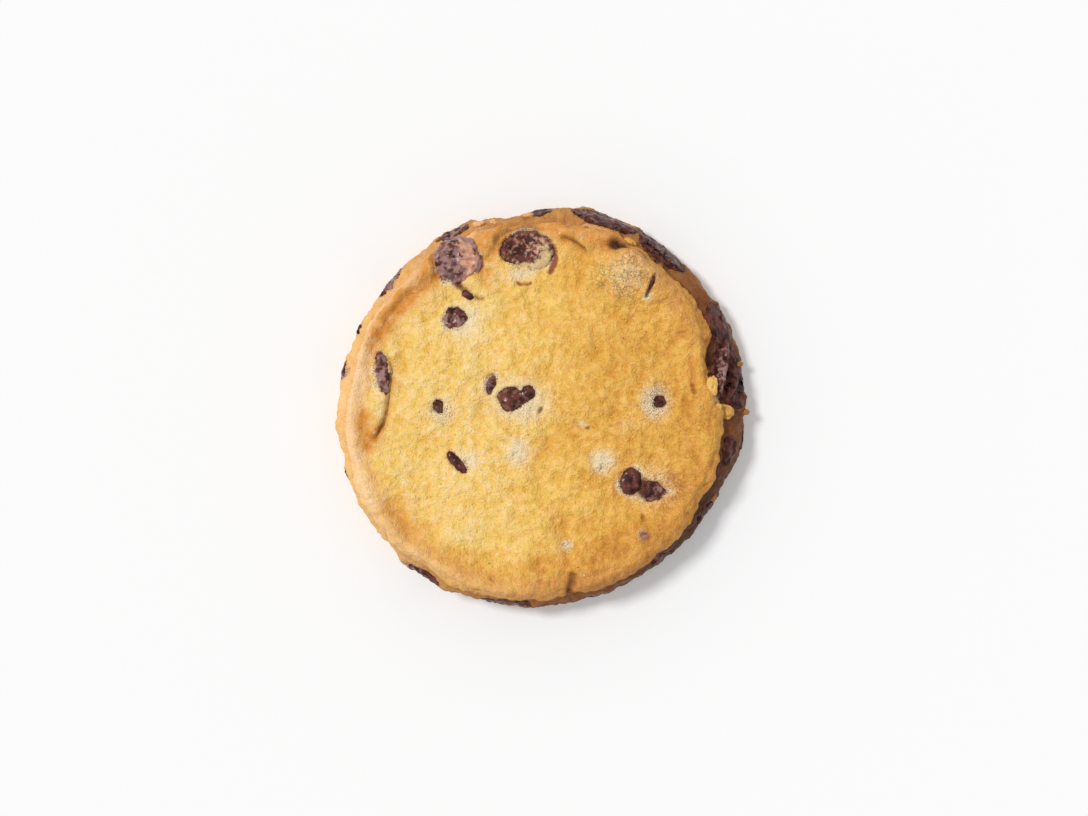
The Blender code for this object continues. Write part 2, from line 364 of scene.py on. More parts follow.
# Tints that mottle the dough: patch size, seed, where in the noise they start and are full, weight, tint
TINTS = (
    (1.3, 31.0, 0.46, 0.60, 0.85, (1.05, 1.05, 1.50)),  # pinkish cream
    (1.6, 32.0, 0.46, 0.60, 0.65, (0.92, 0.99, 0.88)),  # olive
    (0.8, 33.0, 0.56, 0.66, 0.60, (0.96, 0.84, 0.40)),  # gold
    (0.5, 34.0, 0.60, 0.70, 0.50, (0.84, 0.74, 0.66)),  # brown grains
)
AMBER = (0.74, 0.30, 0.048)
GREEN_GREY = (0.50, 0.36, 0.15)


def dough_finish():
    """Baked dough: pale yellow through gold to brown, sandy, with grey-tan patches over the chips, painted light
    and shade on the wall and painted shade in crevices and pores.
    """
    dough = Finish("dough_baked")
    broad = dough.noise(7.0, 3.0, 1.0)
    mid = dough.noise(1.6, 4.0, 2.0)
    grain = dough.noise(0.36, 3.0, 3.0)
    specks = dough.noise(0.2, 1.0, 35.0)
    bake = dough.field("bake")
    bake = dough.math("ADD", bake, dough.remap(broad, 0.25, 0.75, -0.06, 0.06))
    bake = dough.math("ADD", bake, dough.remap(mid, 0.3, 0.7, -0.03, 0.03))
    bake = dough.math("ADD", bake, dough.remap(grain, 0.32, 0.68, -0.06, 0.06), clamp=True)
    colour = dough.ramp(bake, BAKE_STOPS)
    # Peach on the side turned to the lamp: partly painted light
    colour = dough.mix(dough.field("peach"), colour, PEACH)
    amber = dough.times(dough.field("amber"), dough.remap(mid, 0.3, 0.7, 0.7, 1.2))
    colour = dough.mix(amber, colour, AMBER)
    # The peach crust is the least mottled
    calm = dough.minus(1.0, dough.times(dough.field("peach"), 0.7))
    for size, seed, low, high, weight, tint in TINTS:
        patches = dough.noise(size, 2.5, seed, (low, high))
        colour = dough.mix(dough.times(patches, dough.times(calm, weight)), colour, tint, "MULTIPLY")
    # Painted shade on the wall turned from the lamp, darkest in its lee
    colour = dough.mix(dough.field("shade"), colour, CRUST_SHADE)
    colour = dough.mix(dough.field("lee"), colour, LEE_SHADE)
    colour = dough.laid_on(colour, "halo", dough.remap(grain, 0.3, 0.7, 0.0, 0.30), 0.8, 0.85, HALO)
    colour = dough.laid_on(colour, "dirt", dough.remap(specks, 0.35, 0.62, 0.1, 0.85), 0.4, 0.85, HALO_DARK)
    seams = dough.times(dough.field("crackle"), dough.seams(1.1, 36.0, 0.07))
    seams = dough.times(seams, dough.noise(1.5, 2.0, 37.0, (0.38, 0.62)))
    colour = dough.mix(seams, colour, GREEN_GREY)
    colour = dough.laid_on(colour, "stain", dough.remap(mid, 0.3, 0.7, 0.0, 0.3), 0.6, 0.92, STAIN)
    sugar = dough.times(dough.cells(1.2, 5.0, 0.20), dough.noise(1.6, 1.0, 6.0, (0.50, 0.62)))
    colour = dough.mix(dough.times(sugar, dough.minus(0.65, dough.field("shade"))), colour, SUGAR)
    # The pores are coloured dark: painted shade in the little holes
    pores = dough.times(dough.cells(1.7, 9.0, 0.10), dough.noise(2.2, 1.0, 10.0, (0.50, 0.60)))
    colour = dough.mix(dough.times(pores, 0.75), colour, PORE_SHADE)
    # Painted shade in the crevices
    colour = dough.mix(dough.field("crevice"), colour, CREVICE)
    height = dough.math("ADD", dough.times(mid, 0.9), dough.times(grain, 0.9))
    height = dough.math("SUBTRACT", height, dough.times(pores, 0.5))
    height = dough.math("SUBTRACT", height, dough.times(seams, 0.6))
    return dough.finish(colour, dough.remap(mid, 0.3, 0.7, 0.48, 0.75), DOUGH_GLOSS, height, DOUGH_RELIEF)


CHOCOLATE_STOPS = (
    (0.0, (0.026, 0.006, 0.005)),
    (0.5, (0.086, 0.021, 0.015)),
    (1.0, (0.165, 0.048, 0.034)),
)
# Pinkish-grey bloom, which also stands in for the grey sheen of the chocolate: partly painted sheen
BLOOM_AND_SHEEN = (0.40, 0.225, 0.205)
TAN = (0.74, 0.38, 0.25)
CRUMB = (0.78, 0.56, 0.28)
GLOSSIEST = 0.14  # roughness of the wettest chocolate
# The two kinds of chocolate: relief of the creases in mm, specular level, roughness where it is dull
CREASED = ("chocolate_creased", 0.28, 0.24, 0.34)
PLAIN = ("chocolate_plain", 0.12, 0.12, 0.5)


def uneven_tone(tone):
    """Stops that run a colour from a little darker to a little lighter."""
    return (0.3, tuple(0.75 * c for c in tone)), (0.7, tuple(min(1.0, 1.15 * c) for c in tone))


def chocolate_finish(name, creases, gloss, dullest):
    """Melted chocolate: dark, glossy and creased, with a pinkish bloom that is partly painted sheen, a tan film
    and crumbs of dough.
    """
    chip = Finish(name)
    lumps = chip.noise(1.6, 1.5, 21.0)
    fine = chip.noise(0.45, 2.0, 22.0)
    blots = chip.noise(1.1, 2.0, 23.0)
    colour = chip.ramp(chip.remap(lumps, 0.3, 0.7), CHOCOLATE_STOPS)
    # Pinkish-grey bloom, partly painted sheen
    colour = chip.laid_on(colour, "bloom_and_sheen", chip.remap(blots, 0.38, 0.62, 0.0, 0.6), 0.7, 0.9, BLOOM_AND_SHEEN)
    for field, tone, seed in (("tan", TAN, 24.0), ("crumb", CRUMB, 25.0)):
        eaten = chip.times(chip.noise(0.8, 2.0, seed, (0.32, 0.68)), 0.6)
        colour = chip.laid_on(colour, field, eaten, 0.6, 0.9, chip.ramp(fine, uneven_tone(tone)))
    height = chip.math("ADD", chip.times(blots, 1.0), chip.times(fine, 0.18))
    return chip.finish(colour, chip.remap(blots, 0.3, 0.7, GLOSSIEST, dullest), gloss, height, creases)


# ---------------------------------------------------------------- chips

# How single chips are worked: crinkle height, and how much bloom (partly painted sheen), tan film and crumb they
# carry
CHIP_LOOKS = {
    "chip_top_01": (0.42, 0.74, 0, 0),
    "chip_top_02": (0.14, 0.28, 0.18, 0),
    "chip_top_04": (0.22, 0.55, 0, 0),
    "chip_top_05": (0.20, 0.62, 0, 0),
    "chip_top_06": (0.12, 0.25, 0, 0.2),
    "chip_top_07": (0.12, 0.30, 0, 0),
    "chip_top_08": (0.12, 0.28, 0, 0),
    "chip_top_09": (0.06, 0.10, 0, 0),
    "chip_top_12": (0.22, 0.40, 0, 0),
    "chip_top_13": (0.06, 0.90, 0.25, 0),
    "chip_wall_01": (0.14, 0.06, 0, 0),
    "chip_wall_02": (0.10, 0, 0, 0),
    "chip_wall_03": (0.05, 0.20, 0, 0),
    "chip_wall_04": (0.05, 0.24, 0, 0),
    "chip_wall_06": (0.16, 0.45, 0, 0),
    "chip_wall_07": (0.12, 0.50, 0, 0),
    "chip_wall_09": (0.12, 0.55, 0.1, 0),
    "chip_wall_11": (0.16, 0.30, 0, 0),
    "chip_wall_12": (0.12, 0.20, 0, 0),
}
PLAIN_CHIP = (0.12, 0.15, 0.0, 0.0)
BASE_CHIP = (0.06, 0.25, 0.0, 0.1)

MELT_PASSES = 16
FINE_VOXEL, BASE_VOXEL = 0.27, 0.45  # how finely the chips are remeshed; those underneath are coarser

# How far some chips in the wall have run: along the wall, and up and down
CHIP_SPREAD = {
    "chip_wall_01": (1.15, 1.5),
    "chip_wall_02": (1.2, 1.55),
    "chip_wall_03": (1.22, 1.55),
    "chip_wall_04": (1.2, 1.3),
    "chip_wall_05": (1.1, 1.4),
    "chip_wall_06": (1.15, 1.1),
    "chip_wall_11": (1.2, 1.35),
    "chip_wall_12": (1.12, 1.25),
}

# Lobes (+) and dips (-) of single chips: chip, height, x, y, half length, half width, turn
CHIP_LOBES = (
    ("chip_top_02", -0.75, -3.8, 29.6, 3.0, 2.5, 20),  # the round chip at the far side is dished
    ("chip_top_02", -0.35, -3.6, 29.0, 1.2, 0.9, 20),
    ("chip_top_08", 0.9, -2.9, 2.7, 1.5, 1.3, 0),  # the middle chip has two lobes
    ("chip_top_08", 0.7, -6.8, 1.4, 1.9, 1.7, 0),
    ("chip_top_08", -0.5, -4.6, 2.5, 0.5, 1.6, -20),
    ("chip_top_12", -0.4, 21.4, -15.6, 0.5, 2.0, 30),
    ("chip_wall_01", 1.1, 33.6, 6.4, 4.2, 0.55, 80),  # the big chip at the right has a standing ridge
    ("chip_wall_01", -0.9, 34.8, 5.8, 3.8, 0.55, 84),
    ("chip_wall_01", 0.7, 36.0, 4.6, 1.8, 0.6, 70),
    ("chip_wall_01", -0.5, 36.9, 3.2, 1.6, 0.5, 70),
    ("chip_wall_01", 0.4, 36.4, 8.6, 1.2, 0.6, 110),
)

# The two round chips at the far side. The first: its middle, the radius of its pale face, and a line
# through it, sloping by so much, that the face lies right of. The second: its middle and half sizes.
LEFT_ROUND, LEFT_FACE, LEFT_EDGE, LEFT_SLOPE = (-16.1, 27.5), 3.3, (-17.4, 27.3), 0.35
RIGHT_ROUND, RIGHT_HALVES = (-2.9, 28.7), (5.3, 3.9)
RIDGE = (33.4, 6.4, 3.8, 0.9, 80)  # the oval over the standing ridge of the big chip


def look_of(name):
    return CHIP_LOOKS.get(name, BASE_CHIP if name.startswith("chip_base") else PLAIN_CHIP)


def melted_drop(name):
    """Points and faces of the CAD drop, softened, in the box of the CAD drop or spread a little beyond it."""
    node = NODES[name]
    low, high = box_of(name)
    form = bmesh.new()
    form.from_mesh(node.data)
    bmesh.ops.remove_doubles(form, verts=form.verts, dist=0.01 * MM)
    mesh = bpy.data.meshes.new(name + "_melted")
    form.to_mesh(mesh)
    form.free()
    rounded = bpy.data.objects.new(name + "_melted", mesh)
    bpy.context.scene.collection.objects.link(rounded)
    even = rounded.modifiers.new("even", "REMESH")
    even.mode = "VOXEL"
    even.voxel_size = (BASE_VOXEL if name.startswith("chip_base") else FINE_VOXEL) * MM
    bpy.context.view_layer.update()
    shaped = bpy.data.meshes.new_from_object(rounded.evaluated_get(bpy.context.evaluated_depsgraph_get()))
    points = coordinates(shaped)
    quads = np.array([list(face.vertices) for face in shaped.polygons])
    bpy.data.objects.remove(rounded)
    bpy.data.meshes.remove(mesh)
    bpy.data.meshes.remove(shaped)
    points = relaxed(points, neighbour_table(len(points), quad_edges(quads)), MELT_PASSES)
    small, large = points.min(axis=0), points.max(axis=0)
    points = low + (points - small) * (high - low) / (large - small)
    sideways, upward = CHIP_SPREAD.get(name, (1.0, 1.0))
    middle = 0.5 * (low + high)
    away = middle * (1.0, 1.0, 0.0) / np.hypot(*middle[:2])
    along = np.array((-away[1], away[0], 0.0))
    points = points + np.outer((points - middle) @ along * (sideways - 1.0), along)
    points[:, 2] = middle[2] + (points[:, 2] - middle[2]) * upward
    return points, quads


def worked_chip(name, points, quads):
    """The melted drop with its crinkles, lobes and dips."""
    seed = 40 + CHIPS.index(name)
    crinkle = look_of(name)[0]
    normals = vertex_normals(points, quad_halves(quads))
    ridges = 1.0 - 2.0 * np.abs(rough(points, 1.9, seed))
    lift = crinkle * (0.9 * ridges + 0.7 * rough(points, 0.9, seed + 0.5, 2) - 0.5)
    for owner, rise, *oval in CHIP_LOBES:
        if owner == name:
            lift += rise * spot(points, *oval) * (normals[:, 2] > 0.0)
    return points + normals * lift[:, None]


def chip_fields(name, points):
    """Bloom (partly painted sheen), tan film and crumbs over a chip."""
    seed = 90 + CHIPS.index(name)
    patches = 0.5 + 0.5 * rough(points, 2.2, seed, 2)
    bloom_and_sheen, tan, crumb = (share * (0.5 + patches) for share in look_of(name)[1:])
    x, y = points[:, 0], points[:, 1]
    if name == "chip_top_01":  # dark and glossy at the left, a pale face with a bloomed edge at the right
        past = x + LEFT_SLOPE * (y - LEFT_EDGE[1]) - LEFT_EDGE[0]
        face = smooth((past + 1.2 * rough(points, 1.4, 60)) / 3.6)
        edge = smooth((np.hypot(x - LEFT_ROUND[0], y - LEFT_ROUND[1]) - LEFT_FACE) / 0.8)
        tan = tan + face * (1.0 - 0.85 * edge) * (0.5 + 0.85 * patches)
        crumb = crumb + 0.5 * face * (1.0 - edge) * smooth((patches - 0.45) / 0.3)
        bloom_and_sheen = bloom_and_sheen + 0.5 * face * edge
    if name == "chip_top_02":  # a band of crumbs at the lower right, a tan dish and a tan outer edge
        across = (x - RIGHT_ROUND[0]) / RIGHT_HALVES[0]
        along = (y - RIGHT_ROUND[1]) / RIGHT_HALVES[1]
        ring, turned = np.hypot(across, along), np.degrees(np.arctan2(along, across))
        crumb = crumb + 1.4 * (bell((ring - 0.66) / 0.17) * around(turned, -50.0, 65.0))
        tan = tan + 0.5 * bell((ring - 0.35) / 0.3) * beside(turned, 60.0, 60.0)
        bloom_and_sheen = bloom_and_sheen * (0.4 + 0.6 * smooth((x + 4.0) / 3.0))
        tan = tan + 0.35 * bell((ring - 0.95) / 0.12) * beside(turned, -5.0, 50.0)
    # The standing ridge's bloom is partly painted pink sheen where the ridge catches the light
    if name == "chip_wall_01":  # the standing ridge is bloomed
        bloom_and_sheen = bloom_and_sheen + 0.9 * spot(points, *RIDGE)
    return {key: np.clip(v, 0.0, 1.5) for key, v in (("bloom_and_sheen", bloom_and_sheen), ("tan", tan), ("crumb", crumb))}


# ---------------------------------------------------------------- skin: sampled from the CAD dough


def ring_index(cells):
    """Grid numbers (i, j) around the edge of a square grid, anticlockwise from its lower right corner."""
    side = [(cells, j) for j in range(cells)]
    side += [(i, cells) for i in range(cells, 0, -1)]
    side += [(0, j) for j in range(cells, 0, -1)]
    side += [(i, 0) for i in range(cells)]
    return np.array(side)


def round_grid(cells):
    """Radius share and azimuth in radians of each point of a square grid drawn round."""
    steps = np.linspace(-1.0, 1.0, cells + 1)
    a, b = np.meshgrid(steps, steps, indexing="ij")
    share = np.maximum(np.abs(a), np.abs(b))
    whole = np.maximum(share, 1e-9)
    quarter = math.pi / 4.0
    across = np.abs(a) >= np.abs(b)
    azimuth = np.where(
        across,
        np.where(a >= 0, quarter * b / whole, math.pi + quarter * -b / whole * -np.sign(a)),
        np.where(b >= 0, 2 * quarter - quarter * a / whole, -2 * quarter + quarter * a / whole),
    )
    return share.ravel(), azimuth.ravel()


def at_azimuth(azimuth, radii):
    """The radius at an azimuth in radians, between the columns of the skin."""
    return np.interp(azimuth, AZIMUTHS, radii, period=2.0 * math.pi)


def round_points(cells, radii, inset, level):
    """The points of a round grid that ends some way in from the columns' radii."""
    share, azimuth = round_grid(cells)
    radius = share * (at_azimuth(azimuth, radii) - inset)
    return np.stack((radius * np.cos(azimuth), radius * np.sin(azimuth), np.full(len(radius), level)), -1)


def build_topology():
    """Quads, triangles and edges of the skin, and how many points it has."""
    side = TOP_CELLS + 1
    numbers = np.arange(side * side).reshape(side, side)
    quads = [np.stack((numbers[:-1, :-1], numbers[1:, :-1], numbers[1:, 1:], numbers[:-1, 1:]), -1).reshape(-1, 4)]
    ring = ring_index(TOP_CELLS)
    above = numbers[ring[:, 0], ring[:, 1]]
    count = side * side
    rows = len(RIM_ANGLES) + len(WALL_LEVELS) + len(FOOT_ANGLES)
    for _ in range(rows):
        below = count + np.arange(COLUMNS)
        quads.append(np.stack((above, below, np.roll(below, -1), np.roll(above, -1)), -1))
        above = below
        count += COLUMNS
    side = BASE_CELLS + 1
    base = count + np.arange(side * side).reshape(side, side)
    ring = ring_index(BASE_CELLS)
    inner = base[ring[:, 0], ring[:, 1]]
    following = np.roll(inner, -1)
    even, odd, last = above[0::2], above[1::2], np.roll(above, -2)[0::2]
    threes = np.vstack(
        (
            np.stack((even, inner, odd), -1),
            np.stack((odd, inner, following), -1),
            np.stack((odd, following, last), -1),
        )
    )
    quads.append(np.stack((base[:-1, :-1], base[:-1, 1:], base[1:, 1:], base[1:, :-1]), -1).reshape(-1, 4))
    quads = np.vstack(quads)
    edges = np.vstack((quad_edges(quads), threes[:, [0, 1]], threes[:, [1, 2]]))
    return quads, threes, edges, count + side * side


def wall_radius(level):
    """Distance from the axis to the wall at a level, for each column, carried on across the chips."""
    radii, known = np.zeros(COLUMNS), np.zeros(COLUMNS, bool)
    for column, azimuth in enumerate(AZIMUTHS):
        inward = Vector((-math.cos(azimuth), -math.sin(azimuth), 0.0))
        hit = DOUGH_TREE.ray_cast(-inward * FAR + Vector((0, 0, level)), inward)[0]
        radii[column] = hit.xy.length
        known[column] = CAD_CHIP_TREE.find_nearest(hit)[3] > GAP_REACH
    return np.interp(AZIMUTHS, AZIMUTHS[known], radii[known], period=2.0 * math.pi)


def sample(origins, directions):
    """Where rays meet the CAD part, and whether that is a chip or the wall of its pocket."""
    points, masked = np.zeros_like(origins), np.zeros(len(origins), bool)
    for i, (origin, direction) in enumerate(zip(origins.tolist(), directions.tolist())):
        dough = DOUGH_TREE.ray_cast(origin, direction)
        chip = CAD_CHIP_TREE.ray_cast(origin, direction)
        if chip[0] is not None and (dough[0] is None or chip[3] < dough[3]):
            points[i], masked[i] = chip[0], True
        else:
            points[i] = dough[0]
            masked[i] = CAD_CHIP_TREE.find_nearest(dough[0])[3] < GAP_REACH
    return points, masked


def sampled_skin():
    """The smooth shape of the baked dough, with its chip pockets closed over."""
    quads, threes, edges, count = build_topology()
    points, masked = np.zeros((count, 3)), np.zeros(count, bool)
    edge, foot = EDGE_RADII, wall_radius(WALL_LEVELS[-1])
    origins = round_points(TOP_CELLS, edge, TOP_INSET, FAR)
    number = len(origins)
    points[:number], masked[:number] = sample(origins, np.tile((0.0, 0.0, -1.0), (number, 1)))
    out = np.stack((np.cos(AZIMUTHS), np.sin(AZIMUTHS), np.zeros(COLUMNS)), -1)
    up = np.array((0.0, 0.0, 1.0))
    rows = []
    for angle in np.radians(RIM_ANGLES):
        pivot = out * (edge - RIM_PIVOT)[:, None] + up * RIM_LEVEL
        rows.append((pivot, out * math.cos(angle) + up * math.sin(angle)))
    for level in WALL_LEVELS:
        rows.append((np.tile(up * level, (COLUMNS, 1)), out))
    for angle in np.radians(FOOT_ANGLES):
        pivot = out * (foot - FOOT_PIVOT)[:, None] + up * WALL_LEVELS[-1]
        rows.append((pivot, out * math.cos(angle) - up * math.sin(angle)))
    for pivot, away in rows:
        origins = pivot + away * FAR
        found, hidden = sample(origins, -away)
        points[number : number + COLUMNS], masked[number : number + COLUMNS] = found, hidden
        number += COLUMNS
    points[number:] = round_points(BASE_CELLS, np.hypot(found[:, 0], found[:, 1]), BASE_INSET, 0.0)
    neighbours = neighbour_table(count, edges)
    hidden = np.flatnonzero(masked)
    for _ in range(FILL_PASSES):
        points[hidden] = neighbour_mean(points, neighbours, hidden)
    return relaxed(points, neighbours, SMOOTH_PASSES), quads, threes, neighbours


# ---------------------------------------------------------------- skin: what baking did to it

# Creases (and ridges, with a negative depth) of the top: the line, then its half width, depth, how far its
# left bank is lifted (or its right bank, if negative), how dark it is (painted shade in the crease, and in one
# crack the chocolate under it), and how much browner (partly painted shade too)
FLAP_FOLD = ((-29.7, 10.9), (-28.6, 6.9), (-29.1, 2.8), (-29.8, -1.5), (-31.1, -4.7), (-32.4, -7.5))
TOP_STROKES = (
    (FLAP_FOLD, 0.5, 0.7, -0.8, 0.15, 0.22),
    (((-24.5, 22.5), (-26.9, 20.3), (-29.3, 17.0), (-31.6, 12.0)), 0.8, 0.4, -0.35, 0, 0.36),
    (((-30.7, -16.9), (-27.5, -21.4), (-23.2, -25.5)), 1.2, 0.25, 0, 0, 0.12),
    (((1.5, -4.7), (0.2, -7.3), (-2.1, -10.3)), 0.7, 0.35, 0, 0, 0.12),
    (((5.3, -30.4), (5.1, -33.4), (4.6, -36.2)), 0.5, 1.0, 0, 0.6, 0.2),
    (((3.6, -18.9), (3.7, -23.1), (4.1, -27.9), (5.1, -31.7)), 0.9, 0.4, 0, 0, 0.12),
    (((-2.6, -28.7), (0.2, -31.5)), 0.8, 0.25, 0, 0, 0.08),
    (((-29.8, -16.8), (-26.6, -21.2), (-22.2, -25.8)), 1.6, 0.1, 0, 0, 0.07),
    (((-33.6, 0.5), (-33.3, -4.2), (-32.2, -9.4)), 0.7, 0.3, 0, 0, 0.40),
    (((-29.0, 18.6), (-31.6, 14.0), (-33.4, 9.4)), 0.6, 0.3, 0, 0, 0.25),
    (((27.4, 10.7), (27.9, 6.6), (28.1, 2.2)), 0.5, 0.35, 0, 0, 0.15),
    (((27.7, 4.7), (28.3, 2.2)), 0.25, 0.5, 0, 0.5, 0.15),
    (((2.6, 32.4), (5.6, 31.2), (7.5, 29.8), (8.3, 28.3)), 0.28, 0.6, 1.2, 0.6, 0.12),
    (((-10.6, 27.2), (-10.2, 31.0), (-7.2, 34.2), (-2.4, 35.0), (1.8, 34.4), (5.0, 32.8)), 0.7, -1.1, 0, 0, 0.04),
    (((-20.9, 24.0), (-21.7, 27.0), (-20.6, 30.2)), 0.9, -0.7, 0, 0, 0.10),
    (((-19.4, 23.2), (-20.7, 25.5), (-20.9, 28.5), (-20.0, 30.5)), 0.35, 0.35, 0, 0.35, 0.35),
    (((-10.0, 28.3), (-9.0, 31.2), (-6.4, 33.2), (-2.2, 33.8), (1.2, 32.9)), 0.35, 0.5, 0, 0.55, 0.35),
    (((-13.6, 31.8), (-12.0, 32.2), (-10.4, 31.4), (-9.8, 29.6)), 0.5, 0.3, 0, 0, 0.30),
    (((-11.6, 33.2), (-7.6, 35.2), (-3.0, 35.9), (2.0, 35.7)), 0.5, 0.35, 0, 0.15, 0.30),
    (((3.4, 33.6), (5.2, 32.8), (6.4, 32.0)), 0.7, 0.1, 0, 0, 0.28),
    (((-30.9, 8.9), (-31.3, 4.0), (-31.8, -1.0), (-33.0, -6.0)), 1.1, -0.6, 0, 0, -0.10),
    (((20.6, 25.2), (20.2, 23.2), (18.9, 20.2)), 0.26, 0.8, 0, 0.9, 0.1),
    (((16.9, 29.7), (18.3, 28.8), (19.5, 27.5)), 0.22, 0.4, 0, 0.45, 0.1),
    (((-13.5, 21.0), (-12.2, 20.3), (-10.8, 20.3)), 0.22, 0.4, 0, 0.7, 0.1),
    (((-16.5, 23.3), (-15.2, 22.2), (-13.6, 21.0)), 0.4, 0.3, 0, 0.75, 0.1),
    (((-26.9, 10.7), (-26.2, 6.6), (-27.0, 2.2)), 0.5, 0.22, 0, 0, 0.06),
    (((-29.8, -2.1), (-31.1, -4.7), (-32.2, -7.1)), 0.35, 0.4, 0, 0.3, 0.2),
    (((15.0, 32.0), (20.5, 28.2), (25.4, 21.6), (29.4, 15.2), (31.6, 12.6)), 0.6, -0.35, 0, 0, -0.02),
    (((17.0, 32.4), (22.6, 28.2), (27.2, 22.0), (31.0, 16.4)), 0.9, 0.1, 0, 0, 0.10),
    (((32.2, -6.6), (31.4, -11.2), (29.2, -15.6), (26.0, -20.4), (21.3, -25.2)), 0.4, 0.35, 0, 0, 0.12),
    (((22.4, -24.2), (17.0, -28.2), (11.4, -30.8), (5.4, -32.8)), 0.4, 0.3, 0, 0, 0.10),
    (((-5.6, -33.4), (-12.4, -31.6), (-19.4, -28.2), (-25.2, -23.6)), 0.5, 0.25, 0, 0, 0.08),
    (((-22.0, 24.5), (-20.9, 27.0), (-20.9, 29.5)), 0.7, 0.3, 0, 0, 0.25),
    (((-10.4, 26.5), (-10.9, 24.8), (-12.5, 23.0)), 0.9, 0.35, 0, 0, 0.18),
)

# Hollows (-) and lumps (+) of the top: x, y, half length, half width, turn, height, darkness (painted shade),
# browning
TOP_SPOTS = (
    (14.3, 30.7, 2.5, 1.1, 8, -2.0, 1.0, 0.4),
    (13.8, 32.0, 2.6, 0.8, 12, 0.8, 0, 0.15),
    (3.0, 32.7, 1.6, 1.0, -20, 0, 0, 0.2),
    (-11.4, 0, 1.5, 2.0, 0, -0.25, 0, 0.12),
    (31.7, 3.8, 0.9, 1.8, 0, 0.9, 0, -0.3),
    (34.3, -0.9, 1.6, 1.2, 0, 0.7, 0, -0.1),
    (8.1, 34.3, 0.6, 0.3, -20, -0.3, 0.6, 0.2),
    (-9.8, 5.6, 0.9, 0.7, 0, -0.3, 0.3, 0.1),
    (-0.7, -0.6, 0.35, 0.8, -30, -0.4, 0.75, 0.1),
    (18.5, -20.8, 0.35, 0.8, 0, -0.3, 0.45, 0.1),
    (4.4, -26.0, 1.3, 1.0, 0, -0.3, 0, 0),
    (-11.0, 29.4, 2.6, 4.8, 0, 0, 0, 0.30),
    (-22.2, 23.4, 4.6, 2.4, 48, 0, 0, 0.28),
    (-2.5, 34.4, 5.8, 1.6, 0, 0, 0, 0.26),
    (6.5, 33.0, 5.0, 2.6, -12, 0, 0, 0.20),
    (15.2, 24.7, 5.0, 4.4, 20, 1.1, 0, 0.02),
    (18.7, -15.3, 1.4, 1.9, 0, -0.1, 0.95, 0),
    (-18.0, 31.3, 2.0, 1.1, 40, -0.2, 0.85, 0),
    (33.9, 6.2, 1.7, 5.6, 12, -2.4, 0, 0.1),
)

# Grey-tan patches over and around the chips: x, y, half length, half width, turn, halo, dirt
HALOS = (
    (10.9, -10.3, 2.4, 2.2, 0, 1.0, 0.35),
    (10.6, -11.2, 0.8, 0.5, 60, 0, 0.9),
    (-4.9, -8.4, 2.5, 3.1, 0, 0.85, 0.3),
    (4.3, -26.0, 1.3, 1.1, 0, 0.8, 0.5),
    (15.2, 24.7, 5.0, 4.4, 20, 0.5, 0.35),
    (-4.6, 1.0, 5.8, 4.4, -10, 0.85, 0.4),
    (-15.2, 16.2, 3.8, 3.4, 0, 0.85, 0.2),
    (-19.4, -0.6, 2.6, 3.0, 0, 0.75, 0.55),
    (-14.0, -10.0, 2.6, 2.2, -45, 0.8, 0),
    (20.8, 0.9, 2.6, 3.0, 0, 1.0, 0.75),
    (19.4, -14.8, 5.6, 3.9, -14, 0.6, 0.5),
    (-4.4, 24.9, 2.7, 1.4, 5, 0.85, 0.3),
    (7.1, -3.2, 1.4, 0.7, -30, 0.6, 0.45),
    (15.4, -3.4, 3.2, 2.2, 0, 0.35, 0.25),
    (-30.4, -1.6, 1.2, 3.2, 10, 0.4, 0.1),
)

# Lines of melted chocolate on the dough: line, half width, strength
STAIN_STROKES = (
    (((0.4, 31.6), (1.8, 29.8), (2.2, 27.8), (1.6, 25.9), (0.2, 24.6)), 0.42, 0.9),
    (((-5.6, 23.7), (-4.4, 23.1), (-3.0, 23.0), (-1.8, 23.6)), 0.34, 0.7),
    (((-12.6, 24.6), (-11.7, 26.6), (-11.8, 29.0)), 0.35, 0.8),
)

# Reddish chocolate stains: x, y, half length, half width, turn, strength
STAINS = (
    (-16.2, 22.9, 1.1, 0.8, -40, 0.8),
    (-17.6, 31.2, 1.6, 1.0, 25, 0.7),
    (18.9, -24.2, 1.2, 1.0, 0, 0.7),
    (8.2, -3.9, 0.5, 0.4, 0, 0.6),
)

# Dough left lying over the chips (+) and places where more of a chip is bare (-): oval, thickness
TOP_SMEARS = (
    (-5.9, 25.3, 1.7, 0.9, -20, 1.0),
    (-3.0, 24.6, 2.0, 0.7, 0, 0.8),
    (-7.4, 26.6, 1.1, 0.8, -25, 0.5),
    (-14.6, 15.0, 1.0, 0.8, -20, 0.3),
    (-16.4, 16.9, 1.6, 1.4, 0, -0.5),
    (-14.9, -9.5, 2.0, 0.7, -45, 1.2),
    (-16.7, -10.9, 3.2, 1.1, -45, -1.2),
    (-5.3, 1.6, 4.2, 3.0, -8, -1.4),
    (-4.7, 3.9, 0.5, 1.1, 20, 2.0),
    (-6.0, -1.2, 2.4, 0.6, 10, 1.6),
    (-8.6, 3.6, 0.9, 0.7, -40, 1.2),
    (-19.8, 0.5, 1.1, 1.2, 30, -1.8),
    (-19.1, -1.4, 0.6, 1.3, 10, -1.6),
    (21.7, 0.9, 1.3, 1.5, 10, -1.7),
    (19.0, 22.6, 1.6, 3.4, -17, 1.2),
    (-30.1, 6.2, 1.2, 4.8, 8, -1.1),
    (-31.4, 3.8, 0.6, 1.8, 0, 0.7),
    (-31.9, 8.2, 0.6, 1.4, -20, 0.5),
    (19.4, -15.2, 5.4, 3.2, -16, -1.0),
    (23.6, -17.4, 0.9, 0.7, 0, 0.8),
    (17.6, -11.6, 0.7, 0.6, 0, 0.8),
    (20.2, -13.2, 1.0, 0.5, 0, 1.0),
    (33.6, 6.2, 2.6, 5.6, 12, -0.6),
    (-2.6, 28.6, 6.2, 4.8, 0, -1.1),
    (-16.0, 27.6, 5.2, 5.2, 0, -0.5),
)

